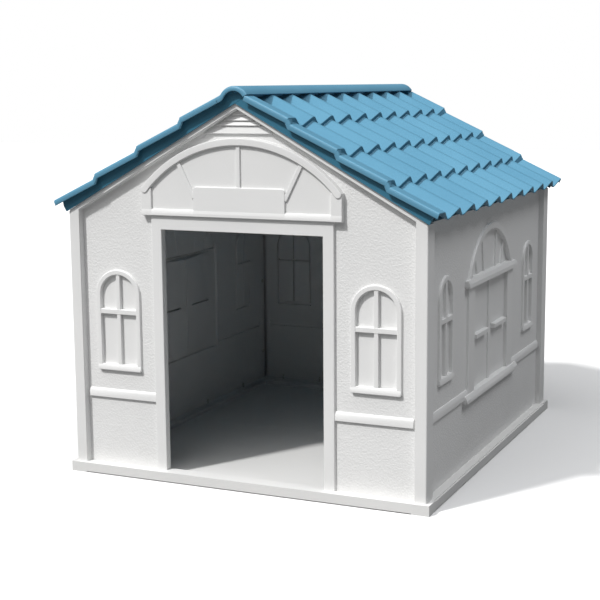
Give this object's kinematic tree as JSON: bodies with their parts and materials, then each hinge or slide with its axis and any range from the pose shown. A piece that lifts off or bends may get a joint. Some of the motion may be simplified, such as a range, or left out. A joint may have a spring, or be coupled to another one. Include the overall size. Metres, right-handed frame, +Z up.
{
  "type": "plastic dog house",
  "caption": "Flat-pack moulded plastic kennel with an open doorway, blind moulded windows, a split base tray and a lift-off tiled gable roof in two panels.",
  "frame": {"origin": "middle of the bounding box's footprint, on the ground", "axes": "+Z up, the doorway's wall faces -Y, +Y runs along the ridge to the rear, +X to the right seen from the doorway"},
  "size_m": [0.7864, 0.888, 0.759],
  "materials": {
    "wall_plastic": "moulded polypropylene, fine orange-peel texture in the fields and smooth mouldings",
    "base_plastic": "moulded polypropylene, satin, slightly dusty",
    "roof_plastic": "moulded polypropylene, satin, slightly weathered on the crests",
    "nylon_fixings": "moulded nylon wing-headed fixings",
    "screw_steel": "zinc-plated pan-head screws"
  },
  "bodies": {
    "kennel": {"base_front_half": "base_plastic", "base_rear_half": "base_plastic", "base_seam_screws": "screw_steel", "front_wall": "wall_plastic", "rear_wall": "wall_plastic", "left_wall": "wall_plastic", "right_wall": "wall_plastic", "front_left_corner_screws": "screw_steel", "front_right_corner_screws": "screw_steel", "rear_left_corner_screws": "screw_steel", "rear_right_corner_screws": "screw_steel", "front_wall_foot_screws": "screw_steel", "rear_wall_foot_screws": "screw_steel", "left_wall_foot_screws": "screw_steel", "right_wall_foot_screws": "screw_steel", "left_roof_thumbscrews": "nylon_fixings", "right_roof_thumbscrews": "nylon_fixings"},
    "roof": {"left_roof_panel": "roof_plastic", "right_roof_panel": "roof_plastic", "ridge_bolts": "nylon_fixings", "ridge_wing_nuts": "nylon_fixings"}
  },
  "joints": [
    {"name": "roof_lift", "type": "slide", "parent": "kennel", "child": "roof", "axis": [0, 0, 1], "range_m": [0, 0.3]}
  ]
}
